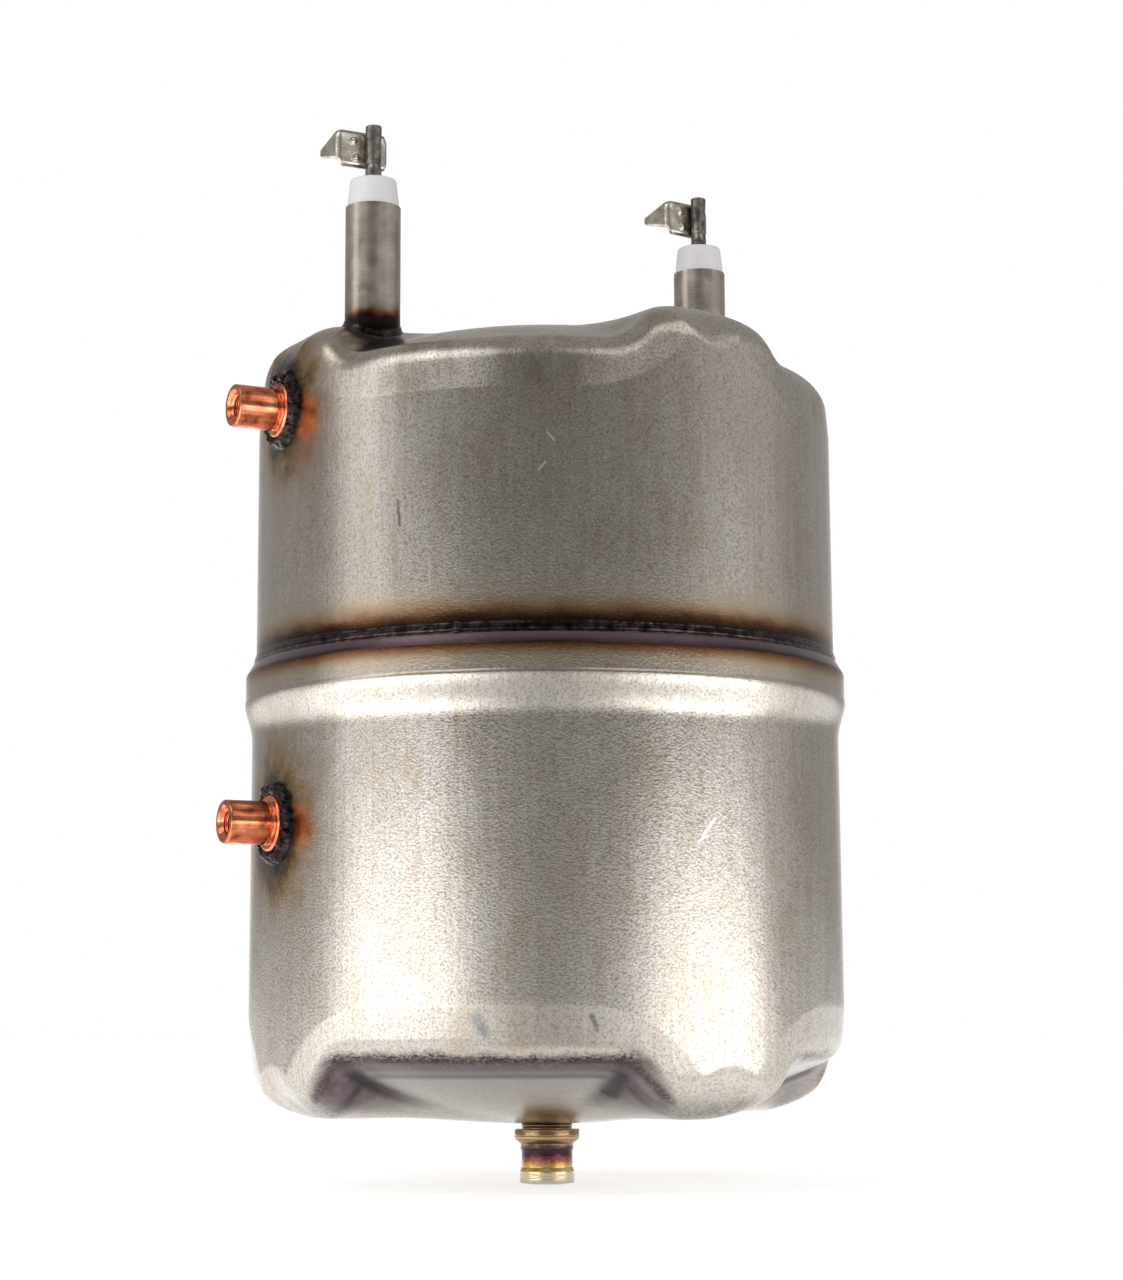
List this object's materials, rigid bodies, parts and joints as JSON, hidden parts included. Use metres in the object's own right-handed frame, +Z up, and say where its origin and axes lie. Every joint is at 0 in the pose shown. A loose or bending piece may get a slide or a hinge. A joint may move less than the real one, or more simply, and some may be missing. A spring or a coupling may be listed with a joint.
{
  "type": "water heater tank",
  "caption": "Small round stainless water heater tank in two lapped and welded shells, with a coiled tubular element, sensor studs and a water port underneath.",
  "frame": {"origin": "centre of the end face of the water port under the tank", "axes": "+Z up along the tank's axis; +X runs from the tank's axis to the right leg of the element, so the left leg stands at -X"},
  "size_m": [0.0997, 0.093, 0.1607],
  "materials": {
    "drawn_stainless": "deep-drawn stainless sheet with orange-peel grain, draw lines and heat tint beside the welds",
    "dark_weld": "burnt black-brown weld bead, half glossy",
    "port_steel": "turned stainless with gold and purple heat tint",
    "copper_coat": "bright copper coat on turned steel",
    "sheath_steel": "drawn stainless tube, satin, browned at its foot",
    "packed_powder": "packed magnesia powder, matt white",
    "resistance_alloy": "oxidised resistance wire, matt grey",
    "pin_steel": "dark drawn steel rod",
    "seal": "cured silicone resin, matt cream",
    "ceramic": "white steatite ceramic, half glossy",
    "nickel_plate": "nickel-plated pressed steel, satin"
  },
  "bodies": {
    "root": {"lower_shell": "drawn_stainless", "upper_shell": "drawn_stainless", "girth_weld": "dark_weld", "inlet_fitting": "port_steel", "inlet_weld": "dark_weld", "outlet_socket": "port_steel", "outlet_weld": "dark_weld", "upper_sensor_stud": "copper_coat", "lower_sensor_stud": "copper_coat", "upper_stud_weld": "dark_weld", "lower_stud_weld": "dark_weld", "element_sheath": "sheath_steel", "element_insulation": "packed_powder", "resistance_winding": "resistance_alloy", "left_entry_weld": "dark_weld", "left_terminal_pin": "pin_steel", "left_end_seal": "seal", "left_ceramic_bush": "ceramic", "left_tab_terminal": "nickel_plate", "left_tab_welds": "nickel_plate", "right_entry_weld": "dark_weld", "right_terminal_pin": "pin_steel", "right_end_seal": "seal", "right_ceramic_bush": "ceramic", "right_tab_terminal": "nickel_plate", "right_tab_welds": "nickel_plate"}
  },
  "joints": []
}
